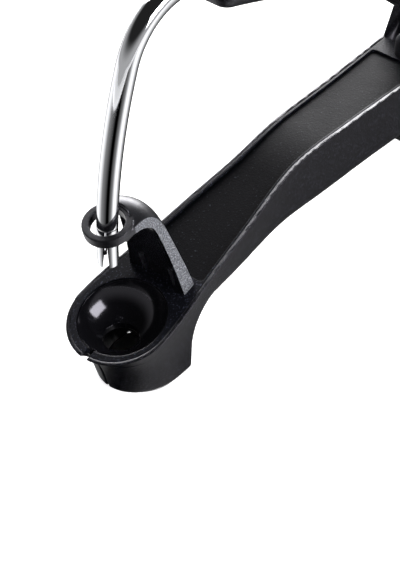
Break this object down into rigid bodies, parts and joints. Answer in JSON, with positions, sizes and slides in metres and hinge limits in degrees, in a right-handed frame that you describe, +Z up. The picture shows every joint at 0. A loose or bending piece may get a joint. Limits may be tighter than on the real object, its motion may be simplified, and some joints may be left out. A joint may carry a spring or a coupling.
{
  "type": "cherry pitter",
  "caption": "Hand lever cherry pitter: cup on a hollow foot, stripper hood, hinged handle with a bent push rod.",
  "frame": {"origin": "middle of the footprint box, on the plane the foot stands on", "axes": "+X along the arm from the cup to the hinge, +Z up from the resting plane, Y is the hinge axis"},
  "size_m": [0.1645, 0.0282, 0.1082],
  "materials": {
    "body_black": "fine spark-eroded satin texture",
    "bowl_black": "polished moulding",
    "panel_black": "coarse grain",
    "hood_black": "glossy inside, fine satin outside",
    "screw_steel": "zinc-plated",
    "rubber_black": "moulded rubber",
    "pin_steel": "turned and ground",
    "washer_plastic": "natural acetal",
    "spring_steel": "drawn wire",
    "grip_rubber": "soft matte overmould",
    "rod_chrome": "polished plate"
  },
  "bodies": {
    "base": {"lower_shell": "body_black", "top_deck": "body_black", "cup_bowl": "bowl_black", "arm_inlay": "panel_black", "hood": "hood_black", "hood_screws": "screw_steel", "deck_screws": "screw_steel", "heel_pad": "rubber_black", "stop_bumper": "rubber_black", "pivot_pin": "pin_steel", "pivot_clip": "screw_steel", "thrust_washers": "washer_plastic", "return_spring": "spring_steel"},
    "lever": {"lever_lower": "body_black", "lever_upper": "body_black", "lever_grip": "grip_rubber", "lever_screws": "screw_steel", "hub_bushes": "washer_plastic", "push_rod": "rod_chrome", "rod_ferrule": "rod_chrome", "rod_pin": "pin_steel"}
  },
  "joints": [
    {"name": "lever_hinge", "type": "hinge", "parent": "base", "child": "lever", "pos_m": [0.0698, 0, 0.0423], "axis": [0, 1, 0], "range_deg": [-15, 4], "stiffness_Nm_per_rad": 0.5, "springref_deg": 2.86, "deforming": ["return_spring"]}
  ]
}
